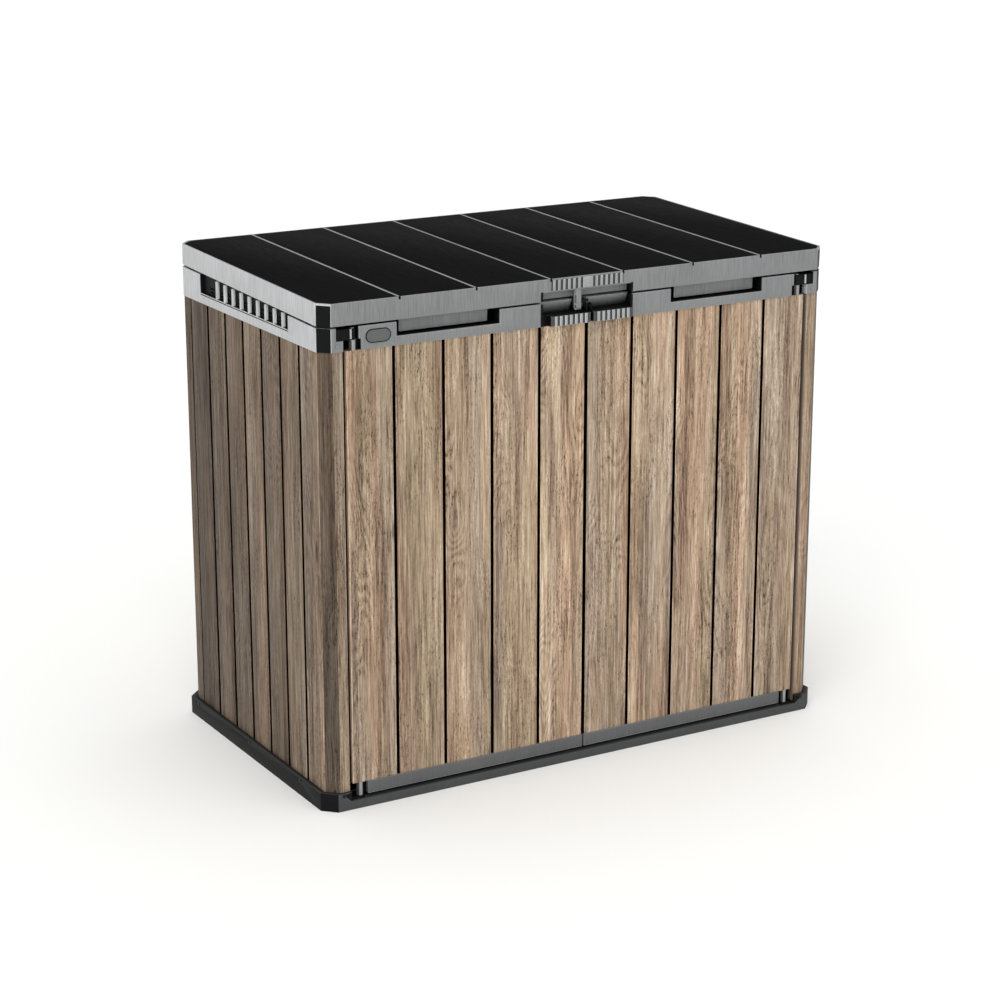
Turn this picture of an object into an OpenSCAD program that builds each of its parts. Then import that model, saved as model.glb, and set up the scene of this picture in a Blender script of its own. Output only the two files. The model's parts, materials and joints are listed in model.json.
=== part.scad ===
// Deck storage box: a resin garden cupboard with a sloping lid and two front doors.
// Millimetres. +Z is up, the doors face -Y, the origin is on the ground at the centre of the base.

/* [Overall size] */
// Width over the side panels
body_w = 1436; // [1200:1:1800]
// Depth from the door faces to the outside of the back panel
body_d = 809; // [650:1:1000]
// Height of the wall panels above the base deck
panel_h = 1108; // [800:1:1400]
// How much higher the back of the lid is than its front
roof_rise = 20; // [10:1:40]

/* [Base] */
// Height of the base rim
base_h = 46; // [38:1:70]
// Top of the deck inside the base
deck_z = 26; // [24:1:32]
// Top of the low sill under the doors
sill_z = 22; // [16:1:24]
// Thickness of the deck and the rim
base_wall = 8; // [6:0.5:10]
// How far the base stands out past the side panels
over_side = 13; // [11:1:24]
// How far the base stands out in front of the doors
over_front = 9; // [6:1:20]
// How far the base stands out behind the back panel
over_back = 20; // [19:1:30]
// Bevel across each corner of the base
base_bevel = 32; // [24:1:44]
// Width of the ribs under the deck
rib_w = 8; // [5:0.5:12]

/* [Walls] */
// Thickness of the side panels
panel_t = 22; // [18:1:28]
// Thickness of the back panels
back_t = 18; // [14:1:24]
// Bevel across each corner of the walls and the lid
corner_bevel = 27; // [20:1:34]
// Flat width of the corner post beside each door
post_w = 29; // [26:1:60]
// Width of the planks moulded on the side panels
side_plank = 104; // [80:1:130]
// Centre of the middle plank joint of the side panels
side_joint_y = 20; // [0:1:80]
// Width of the joints between the planks of the doors and the back
groove_w = 8; // [5:0.5:11]
// Width of the joints between the planks of the side panels
side_groove_w = 11; // [6:0.5:14]
// Depth of the joints between planks
groove_d = 5; // [2:0.5:7]

/* [Rails] */
// Height of the top rails at the front
rail_h = 56; // [50:1:80]
// How far the top rails stand out past the door faces
rail_proud = 3; // [1:0.5:6]
// How far the side rails stand out past the side panels
side_proud = 1; // [0.5:0.5:4]
// Start of the air vent, measured from the box centre towards the front
vent_front = 240; // [150:1:260]
// End of the air vent, measured from the box centre towards the back
vent_back = 265; // [150:1:290]
// Height of the vent opening at the front
vent_h = 30; // [18:1:36]
// Number of upright bars in a vent
vent_bars = 9; // [3:1:12]
// Spacing of the vent bars
vent_pitch = 47; // [30:1:48]
// Width of a vent bar
vent_bar_w = 5; // [3:0.5:8]

/* [Lid] */
// Height of the lid skirt
lid_h = 54; // [48:1:80]
// Gap between the lid and the rails
seam = 5; // [4:0.5:8]
// Wall of the lid shell
lid_wall = 5; // [3:0.5:8]
// Number of boards on the lid
board_n = 7; // [5:1:9]
// Thickness of a lid board
board_t = 6; // [4:0.5:10]
// Width of the pale line left between two boards
ridge_w = 6; // [3:0.5:12]
// How far the two front tabs hang below the lid
tab_drop = 34; // [20:1:38]
// Inner end of a front tab, from the centre
tab_in = 268; // [200:1:300]
// Outer end of a front tab, from the centre
tab_out = 505; // [400:1:520]
// How far the tabs are set back from the lid front
tab_back = 20; // [16:1:26]

/* [Doors] */
// Thickness of a door
door_t = 26; // [22:1:32]
// Planks moulded on each door
door_planks = 5; // [3:1:7]
// Gap between a door and its post
door_gap = 8; // [5:1:12]
// Gap between the two doors
split = 5; // [4:0.5:8]
// Gap between the sill and the doors
door_lift = 9; // [8:1:14]
// Height of the bottom rail of a door
foot_h = 32; // [28:1:45]
// Thickness of the pale cover on the top rail
cover_t = 6; // [4:0.5:9]
// Inner end of the notch that takes a lid tab
notch_in = 244; // [180:1:260]
// Outer end of the notch that takes a lid tab
notch_out = 522; // [440:1:540]

/* [Handle and latch] */
// Half width of the finger recess
recess_w = 129; // [110:1:150]
// Depth of the finger recess in the lid
recess_d = 25; // [20:1:34]
// Height of the recess in the lid skirt
recess_lid_h = 22; // [16:1:26]
// Height of the recess in the door rails
recess_rail_h = 30; // [28:1:34]
// Depth of the recess in the door rails at its top
scoop_top = 20; // [17:1:24]
// Depth of the recess in the door rails at its floor
scoop_low = 34; // [26:1:38]
// Place of the joint between the two top rails, right of the centre
rail_split_x = 7; // [6:0.5:10]
// Height of a ribbed door grip
grip_h = 25; // [18:1:28]
// How far the door grips stand out from the rail
grip_proud = 15; // [8:1:24]
// Half length of the pair of door grips
grip_half = 117; // [90:1:120]
// Half length of the ribbed part of the lid
lid_grip_half = 110; // [90:1:120]
// Spacing of the grip ribs
grip_pitch = 14.2; // [9:0.1:20]
// Depth of the grip ribs
grip_rib = 3; // [1.5:0.5:5]
// Radius of the padlock holes
padlock_r = 4.5; // [3.5:0.25:5]
// Reach of the turn latch's arm
latch_arm = 13.5; // [13:0.1:13.8]

/* [Hinges] */
// Radius of the door and lid knuckles
knuckle_r = 8.5; // [8:0.5:9]
// Radius of the hinge pins
pin_r = 4; // [3:0.25:4.5]
// Radial clearance between a pin and its bore
run_gap = 0.05; // [0.02:0.01:0.1]
// Distance of a door's hinge line from the post
hinge_in = 28; // [26:0.5:30]
// Length of the middle knuckle of a lid hinge
lid_knuckle_l = 60; // [40:1:90]
// Spacing of the three lid hinges
lid_hinge_pitch = 480; // [300:1:560]

/* [Hidden] */
$fn = 48;

// Colours
black = "#232324";
board_black = "#1b1b1c";
grey = "#929394";
wood = "#9b8872";
steel = "#b9bbbd";

// Small fixed fits
eps = 0.01;
fit = 0.5;              // gap between neighbours that never touch while moving
cut = 1;                // how far a cutting shape runs past the face it opens
k45 = tan(22.5);        // inward shift of a 45 degree bevel's end per unit of wall

// Places across the width
half_w = body_w / 2;
post_x = half_w - corner_bevel - post_w;        // inner edge of the corner posts
door_x = post_x - door_gap;                     // outer edge of a door
hinge_x = post_x - hinge_in;                    // door hinge line
rail_half_w = half_w + side_proud;
base_half_w = half_w + over_side;
plank_w = post_x / door_planks;

// Places along the depth
base_d = body_d + over_front + over_back;
door_y = -base_d / 2 + over_front;              // door faces
back_y = door_y + body_d;                       // outside of the back panel
rail_y = door_y - rail_proud;                   // faces of the front rails and the lid
rail_back_y = back_y + side_proud;
hinge_y = rail_y + knuckle_r + 1;               // door hinge line
door_in_y = door_y + door_t;                    // inner faces of the doors
lid_d = rail_back_y - rail_y;

// Places along the height
panel_z = deck_z + panel_h;                     // top of the wall panels
rail_z = panel_z + rail_h;                      // top of the rails at the front
rail_top = rail_z + roof_rise + 40;             // above every sloping rail, before it is trimmed
door_z = sill_z + door_lift;                    // underside of the doors
foot_z = door_z + foot_h;
recess_z = rail_z - recess_rail_h;              // floor of the finger recess
slope = atan(roof_rise / lid_d);
lid_z = rail_z + seam;                          // underside of the lid at the front
lid_hinge_y = rail_back_y + knuckle_r + fit;    // hinge line of the lid, clear of the back rail
lid_hinge_z = rail_z + roof_rise + seam / 2;

// Screws with a hexagon socket
screw_r = 4.6;
screw_bed_r = 5;
screw_bed = 1.5;
screw_head = 2.5;
socket_r = 2.2;
side_screw_share = [0.407, 0.027, -0.325];      // places of the side screws as shares of the base depth
post_screw_share = 0.7;                         // place of the front screw as a share of the post width

// Base
deck_cells_x = 10;      // pockets under the deck, across
deck_cells_y = 6;       // and along the depth

// Walls
side_joints = 3;        // plank joints on each side of the middle one

// Rails and vents
cap_t = 3;              // thickness of the black corner strips
cap_edge = 1.5;         // pale edge left on each side of a strip
vent_z = rail_z - vent_h;
vent_bar_d = 8;         // depth of a vent bar
vent_first = 30;        // first bar, measured from the start of the vent
screen_in = 10;         // place of the vent screen behind the rail face
screen_t = 4;
screen_slot_l = 24;     // slots of the vent screen
screen_slot_h = 4;
screen_pitch_x = 33;
screen_pitch_z = 9;
bumper_l = 24;          // rubber bumpers under the lid skirt
bumper_w = 12;

// Door hinges
bracket_z0 = panel_z + 26;       // underside of the upper bracket
bracket_h = 26;                  // height of the upper bracket
bracket_back = 22;               // depth of the bracket behind the rail face
bracket_side = 18;               // how far the bracket is let into the side rail
sill_plate_t = 6;                // thickness of the lower bracket's plate
knuckle_z1 = bracket_z0 - 1;     // top of the upper door knuckle
lower_knuckle_z0 = sill_z + sill_plate_t + 1.5;
lower_knuckle_z1 = foot_z - 3;
rail_start = -hinge_x + knuckle_r + 11;          // outer end of a door's rails

// Doors
rail_core_t = 26;                // depth of the black top rail behind its cover
core_y = rail_y + cover_t;
block_w = recess_w + 12;         // half width of the deep part of the top rail
block_back = 50;                 // depth of that part behind the rail face
tab_gap = 5;                     // gap between a lid tab and the floor of its notch
stile_w = 50;                    // stiffening stiles inside the doors
stile_t = 18;

// Latch, lug and padlock eyes
latch_x = -7;                    // pivot of the turn latch
latch_z = rail_z - 4;
latch_hub_r = 7;
latch_stem_r = 4;
latch_arm_h = 3;                 // half height of the arm
lug_t = 12;
lug_x = latch_x - 10 - lug_t;    // left face of the lid lug
lug_gap = 3;                     // room beside the lug in its slot
eye_r = 8;
eye_y = rail_y + eye_r;          // padlock holes
eye_z = recess_z + recess_rail_h / 2 - 3;

// Lid
board_pitch = 2 * rail_half_w / board_n;
lid_deck_z = lid_h - board_t;
rim = 4;                         // grey rim left round the boards
board_fit = 0.25;                // gap between a board and its seat
deck_rib_h = 12;                 // ribs under the lid deck
deck_rib_w = 4;
flat_half = 14;                  // half width of the flat middle of the lid grip

// Lid hinges
hinge_leaf_t = 3;
end_knuckle_l = 20;

// Badge
badge_x = -571;
badge_l = 33;
badge_r = 16.5;
badge_t = 2;

// ---------- helpers ----------

// Wall strip of one side in plan: post, bevel, side, bevel, return at the back
function wall_strip(x, f, b, c, t, end) = [
  [-end, f], [-(x - c), f], [-x, f + c], [-x, b - c], [-(x - c), b], [-end, b],
  [-end, b - t], [-(x - c) + k45 * t, b - t], [-x + t, b - c - k45 * t],
  [-x + t, f + c + k45 * t], [-(x - c) + k45 * t, f + t], [-end, f + t]
];

// Rectangle with bevelled corners in plan
function bevelled(x, f, b, c) = [
  [-(x - c), f], [x - c, f], [x, f + c], [x, b - c], [x - c, b], [-(x - c), b], [-x, b - c], [-x, f + c]
];

module on_side(s) {
  if (s < 0) children(); else mirror([1, 0, 0]) children();
}

// Frame of the lid: x across, y from the lid front towards the back, z square to the lid
module lid_frame() {
  translate([0, rail_y, lid_z]) rotate([slope, 0, 0]) children();
}

// Everything under the sloping top of the rails
module below_seam() {
  intersection() {
    children();
    translate([0, rail_y, rail_z]) rotate([slope, 0, 0])
      translate([-body_w, -50, -2 * rail_h - 60]) cube([2 * body_w, body_d + 150, 2 * rail_h + 60]);
  }
}

module box(x0, x1, y0, y1, z0, z1) {
  translate([x0, y0, z0]) cube([x1 - x0, y1 - y0, z1 - z0]);
}

module rod_x(x0, x1, y, z, r) {
  translate([x0, y, z]) rotate([0, 90, 0]) cylinder(r = r, h = x1 - x0);
}

module rod_y(y0, y1, x, z, r) {
  translate([x, y1, z]) rotate([90, 0, 0]) cylinder(r = r, h = y1 - y0);
}

module rod_z(z0, z1, x, y, r) {
  translate([x, y, z0]) cylinder(r = r, h = z1 - z0);
}

// ---------- base ----------

module base_screw_places() {
  for (s = [-1, 1]) {
    for (share = side_screw_share)
      translate([s * base_half_w, share * base_d, base_h - 8]) rotate([0, s * 90, 0]) children();
    translate([s * (post_x + post_w * post_screw_share), -base_d / 2, base_h - 7]) rotate([90, 0, 0]) children();
  }
}

module screw_bed() {
  translate([0, 0, -screw_bed]) cylinder(r = screw_bed_r, h = screw_bed + cut);
}

module screw() {
  translate([0, 0, -screw_bed]) difference() {
    cylinder(r = screw_r, h = screw_head);
    translate([0, 0, screw_head - 1]) rotate([0, 0, 30]) cylinder(r = socket_r, h = 1 + cut, $fn = 6);
  }
}

module base_tray() {
  f = -base_d / 2;
  b = base_d / 2;
  inset = over_side - fit;
  cell_x = (2 * base_half_w - 2 * base_bevel) / deck_cells_x;
  cell_y = (base_d - 2 * base_bevel) / deck_cells_y;
  color(black) difference() {
    linear_extrude(base_h) polygon(bevelled(base_half_w, f, b, base_bevel));
    // well that takes the wall panels
    translate([0, 0, deck_z]) linear_extrude(base_h)
      polygon(bevelled(base_half_w - inset, f + over_front - fit, b - over_back + fit, corner_bevel));
    // low sill under the doors
    box(-post_x, post_x, f - 1, door_in_y + 20, sill_z, base_h + 1);
    // pockets under the deck, with a rib on both centre lines
    for (i = [-deck_cells_x / 2 : deck_cells_x / 2 - 1], j = [-deck_cells_y / 2 : deck_cells_y / 2 - 1])
      box(i * cell_x + rib_w / 2, (i + 1) * cell_x - rib_w / 2,
          j * cell_y + rib_w / 2, (j + 1) * cell_y - rib_w / 2, -1, sill_z - base_wall);
    // counterbores of the rim screws
    base_screw_places() screw_bed();
  }
}

module base_screws() {
  color(steel) base_screw_places() screw();
}

// ---------- wall panels ----------

module side_panel() {
  color(wood) difference() {
    translate([0, 0, deck_z]) linear_extrude(panel_h)
      polygon(wall_strip(half_w, door_y, back_y, corner_bevel, panel_t, post_x));
    for (i = [-side_joints : side_joints]) {
      // the joint nearest the back is only a shallow line, and none runs into a bevel
      share = i == side_joints ? 0.5 : 1;
      y = side_joint_y + i * side_plank;
      if (y > door_y + corner_bevel + side_groove_w && y < back_y - corner_bevel - side_groove_w / 2)
        box(-half_w - cut, -half_w + groove_d * share, y - side_groove_w * share / 2, y + side_groove_w * share / 2,
            deck_z - cut, panel_z + cut);
    }
  }
}

module back_panel() {
  color(wood) difference() {
    box(-post_x, -split / 4, back_y - back_t, back_y, deck_z, panel_z);
    for (i = [1 : door_planks - 1])
      box(-i * plank_w - groove_w / 2, -i * plank_w + groove_w / 2,
          back_y - groove_d, back_y + 1, deck_z - 1, panel_z + 1);
  }
}

// ---------- rails of the frame ----------

// Slab that follows a corner bevel between its two edges, from depth d0 to d1 below its face
module bevel_slab(x, f, c, d0, d1, z0, z1) {
  l = c * sqrt(2) - 2 * cap_edge;
  translate([-x + c / 2, f + c / 2, z0]) rotate([0, 0, -45])
    translate([-l / 2, d0, 0]) cube([l, d1 - d0, z1 - z0]);
}

module side_rail() {
  color(grey) below_seam() union() {
    difference() {
      translate([0, 0, panel_z]) linear_extrude(rail_top - panel_z)
        polygon(wall_strip(rail_half_w, rail_y, rail_back_y, corner_bevel, panel_t, post_x));
      // open-topped air vent
      box(-rail_half_w - cut, -rail_half_w + panel_t + cut, -vent_front, vent_back, vent_z, rail_top + cut);
      // shadow line under the vent
      box(-rail_half_w - cut, -rail_half_w + 1.5, -vent_front, vent_back, vent_z - 5, vent_z - 2.5);
      // bed of the corner strip
      bevel_slab(rail_half_w, rail_y, corner_bevel, -cut, cap_t, panel_z - cut, rail_top + cut);
      // pocket of the upper door bracket
      box(-post_x - bracket_side, -post_x + cut, rail_y - cut, rail_y + bracket_back, bracket_z0, rail_top + cut);
      frame_screw_place() screw_bed();
    }
    for (i = [0 : vent_bars - 1]) {
      y = -vent_front + vent_first + i * vent_pitch;
      if (y + vent_bar_w < vent_back) box(-rail_half_w, -rail_half_w + vent_bar_d, y, y + vent_bar_w, vent_z - eps, rail_top);
    }
  }
}

module vent_screen() {
  slots_x = floor((vent_front + vent_back - 20) / screen_pitch_x);
  slots_z = floor((vent_h + roof_rise - 8) / screen_pitch_z);
  color(black) below_seam() difference() {
    box(-rail_half_w + screen_in, -rail_half_w + screen_in + screen_t, -vent_front + eps, vent_back - eps, vent_z, rail_top);
    for (i = [0 : slots_x - 1], j = [0 : slots_z - 1])
      translate([-rail_half_w + screen_in - cut, -vent_front + 10 + i * screen_pitch_x, vent_z + 6 + j * screen_pitch_z])
        if (vent_z + 6 + j * screen_pitch_z + screen_slot_h < rail_z - 2)
          cube([screen_t + 2 * cut, screen_slot_l, screen_slot_h]);
  }
}

module back_rail() {
  color(grey) below_seam()
    box(-post_x, post_x, back_y - back_t, rail_back_y, panel_z, rail_top);
}

module corner_cap() {
  color(black) below_seam()
    bevel_slab(rail_half_w, rail_y, corner_bevel, 0, cap_t, panel_z, rail_top);
}

module frame_screw_place() {
  translate([-post_x - 15, rail_y, panel_z + 14]) rotate([90, 0, 0]) children();
}

module frame_screws() {
  color(steel) for (s = [-1, 1]) on_side(s) frame_screw_place() screw();
}

module lid_bumpers() {
  color(black) for (s = [-1, 1]) on_side(s)
    translate([0, rail_y, rail_z]) rotate([slope, 0, 0])
      for (y = [60, lid_d - 80])
        box(-rail_half_w + 1, -rail_half_w + 1 + bumper_w, y, y + bumper_l, 0, seam - 0.4);
}

// ---------- door hinges ----------

module door_brackets() {
  color(black) {
    // upper arm, let into the corner of the side rail
    difference() {
      union() {
        box(-post_x - bracket_side, -hinge_x, hinge_y - 6, rail_y + bracket_back, bracket_z0, bracket_z0 + bracket_h);
        box(-post_x - bracket_side, -post_x, rail_y + 2, rail_y + bracket_back, bracket_z0, bracket_z0 + bracket_h);
        rod_z(bracket_z0, bracket_z0 + bracket_h, -hinge_x, hinge_y, knuckle_r - 1);
      }
      rod_z(bracket_z0 - 1, bracket_z0 + bracket_h + 1, -hinge_x, hinge_y, pin_r + run_gap);
    }
    // lower plate on the sill
    difference() {
      union() {
        box(-post_x + fit, -hinge_x + 10, rail_y + 2, door_in_y - 2, sill_z, sill_z + sill_plate_t);
        rod_z(sill_z + sill_plate_t, sill_z + sill_plate_t + 1, -hinge_x, hinge_y, knuckle_r - 1);
      }
      rod_z(sill_z - 1, sill_z + sill_plate_t + 2, -hinge_x, hinge_y, pin_r + run_gap);
    }
  }
}

module door_pins() {
  color(steel) {
    rod_z(panel_z + 3, bracket_z0 + bracket_h, -hinge_x, hinge_y, pin_r);
    rod_z(bracket_z0 + bracket_h, bracket_z0 + bracket_h + 2, -hinge_x, hinge_y, pin_r + 2);
    rod_z(sill_z, lower_knuckle_z1 - 3, -hinge_x, hinge_y, pin_r);
  }
}

module door_knuckles() {
  color(grey) difference() {
    union() {
      rod_z(panel_z, knuckle_z1, -hinge_x, hinge_y, knuckle_r);
      box(-hinge_x, rail_start, hinge_y + 2, hinge_y + 9, panel_z, knuckle_z1);
      rod_z(lower_knuckle_z0, foot_z, -hinge_x, hinge_y, knuckle_r);
      box(-hinge_x, rail_start, hinge_y + 2, hinge_y + 9, lower_knuckle_z0 + 2, foot_z);
    }
    rod_z(panel_z - 1, knuckle_z1 + 1, -hinge_x, hinge_y, pin_r + run_gap);
    rod_z(lower_knuckle_z0 - 1, lower_knuckle_z1, -hinge_x, hinge_y, pin_r + run_gap);
  }
}

// ---------- doors ----------

// Plan of one door panel, with its inner hinge edge bevelled to clear the post
function door_plan(edge) = [
  [-door_x, door_y], [edge, door_y], [edge, door_in_y], [-door_x + 13, door_in_y],
  [-door_x, door_y + door_t / 2]
];

// s is -1 for the left door and 1 for the right one; both are drawn on the left
module door_panel(s) {
  color(wood) difference() {
    translate([0, 0, foot_z]) linear_extrude(panel_z - foot_z) polygon(door_plan(-split / 2));
    for (i = [1 : door_planks - 1])
      box(-i * plank_w - groove_w / 2, -i * plank_w + groove_w / 2,
          door_y - 1, door_y + groove_d, foot_z - 1, panel_z + 1);
  }
}

// Inner end of a top rail: the joint lies right of the centre, so it depends on the side
function rail_end(s) = s < 0 ? rail_split_x - 2 : -rail_split_x - 2;

module rail_outline(s, y0, y1) {
  difference() {
    union() {
      box(rail_start, rail_end(s), y0, y1, panel_z, rail_z);
      box(rail_start - 6, rail_end(s), y0, y1, bracket_z0 + 1, rail_z);
    }
    // notch for the lid tab
    box(-notch_out, -notch_in, y0 - 1, y1 + 1, lid_z - tab_drop - tab_gap, rail_z + 1);
    // clearance over the other door's panel
    box(-split / 2, half_w, y0 - 1, y1 + 1, panel_z - 1, panel_z + 1);
  }
}

module door_top_rail(s) {
  color(black) difference() {
    union() {
      rail_outline(s, core_y, core_y + rail_core_t);
      box(-block_w, min(rail_end(s), -split / 2), core_y, rail_y + block_back, panel_z, rail_z);
      box(-block_w, rail_end(s), core_y, rail_y + block_back, panel_z + 1, rail_z);
    }
    // finger recess, open at the top; the scoop closes its back
    box(-recess_w, rail_end(s) + 20, core_y - 1, rail_y + block_back + 1, recess_z, rail_z + 1);
  }
}

module rail_cover(s) {
  color(grey) difference() {
    rail_outline(s, rail_y, core_y);
    box(-recess_w, rail_end(s) + 20, rail_y - 1, core_y + 1, panel_z - 1, rail_z + 1);
  }
}

// Sloping back of the finger recess
module scoop(s) {
  color(grey) difference() {
    translate([-recess_w, 0, 0]) rotate([90, 0, 90]) linear_extrude(recess_w + rail_end(s))
      polygon([[rail_y + scoop_top, rail_z], [rail_y + scoop_low, recess_z],
               [rail_y + block_back, recess_z], [rail_y + block_back, rail_z]]);
    if (s < 0) {
      // bore of the latch stem
      rod_y(rail_y, rail_y + block_back + 1, latch_x, latch_z, latch_stem_r + run_gap);
      // slot right through, so that the door passes the lug that hangs from the lid
      box(lug_x - lug_gap, lug_x + lug_t + lug_gap, rail_y - 1, rail_y + block_back + 1, recess_z - 1, rail_z + 1);
    }
  }
}

module door_bottom_rail() {
  color(grey) box(rail_start, -split / 2, rail_y, door_in_y, door_z, foot_z);
}

module door_grip(s) {
  near = s < 0 ? rail_split_x - 4 : -rail_split_x - 4;
  far = s < 0 ? -grip_half + rail_split_x : -grip_half - rail_split_x;
  z0 = recess_z - grip_h;
  n = floor((near - far - 4) / grip_pitch);
  start = (near + far) / 2 - (n * grip_pitch) / 2 + grip_pitch / 4;
  color(grey) {
    box(far, near, rail_y - grip_proud + grip_rib, core_y, z0, z0 + grip_h);
    for (i = [0 : n - 1])
      box(start + i * grip_pitch, start + i * grip_pitch + grip_pitch / 2,
          rail_y - grip_proud, rail_y - grip_proud + grip_rib + eps, z0, z0 + grip_h);
  }
}

module door_stiles() {
  color(black) for (x = [-post_x + stile_w + 12, -split / 2 - stile_w - 12])
    box(x, x + stile_w, door_in_y, door_in_y + stile_t, foot_z + 6, panel_z - 6);
}

// ---------- latch ----------

module turn_latch() {
  color(black) {
    rod_y(rail_y + 2, rail_y + 14, latch_x, latch_z, latch_hub_r);
    rod_y(rail_y + 14, rail_y + block_back - 4, latch_x, latch_z, latch_stem_r);
    box(latch_x, latch_x + latch_arm, rail_y + 5, rail_y + 11,
        latch_z - latch_arm_h, latch_z + latch_arm_h);
  }
}

module eye(x0, x1, c) {
  color(c) difference() {
    union() {
      rod_x(x0, x1, eye_y, eye_z, eye_r);
      box(x0, x1, eye_y - eye_r, eye_y + eye_r, recess_z, eye_z);
    }
    rod_x(x0 - 1, x1 + 1, eye_y, eye_z, padlock_r);
  }
}

module lid_lug() {
  x1 = lug_x + lug_t;
  color(grey) difference() {
    union() {
      rod_x(lug_x, x1, eye_y, eye_z, eye_r);
      box(lug_x, x1, eye_y - eye_r, eye_y + eye_r, eye_z, lid_z + recess_lid_h);
    }
    rod_x(lug_x - 1, x1 + 1, eye_y, eye_z, padlock_r);
    // window for the latch arm
    box(lug_x - 1, x1 + 1, eye_y - 5, eye_y + 5, latch_z - latch_arm_h - 1.5, latch_z + latch_arm + 1.5);
    // trimmed under the sloping ceiling of the recess
    lid_frame() box(-100, 100, -20, 60, recess_lid_h, recess_lid_h + 30);
  }
}

// ---------- lid ----------

module lid_tab_places() {
  for (s = [-1, 1]) on_side(s) children();
}

module lid_shell() {
  inner = rail_half_w - lid_wall;
  color(grey) lid_frame() difference() {
    union() {
      difference() {
        linear_extrude(lid_h) polygon(bevelled(rail_half_w, 0, lid_d, corner_bevel));
        // hollow underside, stepped round the finger recess
        difference() {
          translate([0, 0, -1]) linear_extrude(lid_deck_z - lid_wall + 1)
            polygon(bevelled(inner, lid_wall, lid_d - lid_wall, corner_bevel - lid_wall * (2 - sqrt(2))));
          box(-recess_w - lid_wall, recess_w + lid_wall, 0, recess_d + lid_wall, -2, recess_lid_h + lid_wall);
          // ribs under the deck
          for (i = [-3 : 3])
            box(i * board_pitch - deck_rib_w / 2, i * board_pitch + deck_rib_w / 2, 0, lid_d,
                lid_deck_z - lid_wall - deck_rib_h, lid_h);
          for (j = [1 : 3])
            box(-inner, inner, j * lid_d / 4 - deck_rib_w / 2, j * lid_d / 4 + deck_rib_w / 2,
                lid_deck_z - lid_wall - deck_rib_h, lid_h);
        }
      }
      // front tabs
      lid_tab_places() box(-tab_out, -tab_in, tab_back, tab_back + lid_wall, -tab_drop, lid_deck_z - eps);
    }
    // finger recess
    box(-recess_w, recess_w, -1, recess_d, -1, recess_lid_h);
    // seats of the boards
    for (i = [0 : board_n - 1]) intersection() {
      board_block(i, 0);
      translate([0, 0, lid_deck_z]) linear_extrude(lid_h)
        polygon(bevelled(rail_half_w - rim, rim, lid_d - rim, corner_bevel));
    }
    // dark notch at the front end of each pale line
    for (i = [1 : board_n - 1])
      box(-rail_half_w + i * board_pitch - ridge_w / 2, -rail_half_w + i * board_pitch + ridge_w / 2,
          -1, rim + 3, lid_h - 7, lid_h + 1);
    // beds of the front corner strips
    for (s = [-1, 1]) on_side(s) bevel_slab(rail_half_w, 0, corner_bevel, -5, cap_t, -1, lid_h - 5);
  }
}

module board_block(i, gap) {
  box(-rail_half_w + i * board_pitch + ridge_w / 2 + gap, -rail_half_w + (i + 1) * board_pitch - ridge_w / 2 - gap,
      0, lid_d, lid_deck_z, lid_h + 0.5 - gap);
}

module lid_board(i) {
  if (i < board_n) color(board_black) lid_frame() intersection() {
    board_block(i, board_fit);
    translate([0, 0, lid_deck_z]) linear_extrude(lid_h)
      polygon(bevelled(rail_half_w - rim - board_fit, rim + board_fit, lid_d - rim - board_fit, corner_bevel));
  }
}

module lid_cap() {
  color(black) lid_frame() bevel_slab(rail_half_w, 0, corner_bevel, 0, cap_t, 0, lid_h - 5);
}

module lid_grip() {
  z0 = recess_lid_h + 3;
  z1 = lid_h - 3;
  n = floor((lid_grip_half - flat_half) / grip_pitch);
  color(grey) lid_frame() {
    box(-flat_half, flat_half, -grip_rib, 0, z0, z1);
    for (s = [-1, 1], i = [1 : n]) on_side(s)
      box(-flat_half - i * grip_pitch, -flat_half - (i - 0.5) * grip_pitch, -grip_rib, 0, z0, z1);
  }
}

// ---------- lid hinges ----------

module lid_hinge_places() {
  for (i = [-1 : 1]) translate([i * lid_hinge_pitch, 0, 0]) children();
}

module lid_hinge_seats() {
  l = lid_knuckle_l / 2 + fit;
  color(black) lid_hinge_places() for (s = [-1, 1]) on_side(s) difference() {
    union() {
      rod_x(-l - end_knuckle_l, -l, lid_hinge_y, lid_hinge_z, knuckle_r);
      box(-l - end_knuckle_l, -l, rail_back_y, rail_back_y + hinge_leaf_t, lid_hinge_z - 50, lid_hinge_z - 4);
      box(-l - end_knuckle_l, -l, rail_back_y, lid_hinge_y + 4, lid_hinge_z - 12, lid_hinge_z - 4);
    }
    rod_x(-l - end_knuckle_l - 1, -l + 1, lid_hinge_y, lid_hinge_z, pin_r + run_gap);
  }
}

module lid_hinge_pins() {
  l = lid_knuckle_l / 2 + fit + end_knuckle_l;
  color(steel) lid_hinge_places() {
    rod_x(-l, l, lid_hinge_y, lid_hinge_z, pin_r);
    for (x = [-l - 2, l]) rod_x(x, x + 2, lid_hinge_y, lid_hinge_z, pin_r + 2);
  }
}

module lid_hinge_leaves() {
  l = lid_knuckle_l / 2;
  color(black) lid_hinge_places() difference() {
    union() {
      rod_x(-l, l, lid_hinge_y, lid_hinge_z, knuckle_r);
      lid_frame() box(-l, l, lid_d, lid_d + hinge_leaf_t, 6, lid_h - 12);
      lid_frame() box(-l, l, lid_d, lid_d + knuckle_r, 4, 9);
    }
    rod_x(-l - 1, l + 1, lid_hinge_y, lid_hinge_z, pin_r + run_gap);
  }
}

// ---------- badge ----------

module badge() {
  color("#7f8081") translate([badge_x, rail_y, panel_z + 30]) rotate([90, 0, 0]) {
    for (x = [-badge_l / 2, badge_l / 2]) translate([x, 0, 0]) cylinder(r = badge_r, h = badge_t);
    translate([-badge_l / 2, -badge_r, 0]) cube([badge_l, 2 * badge_r, badge_t]);
  }
}

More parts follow.
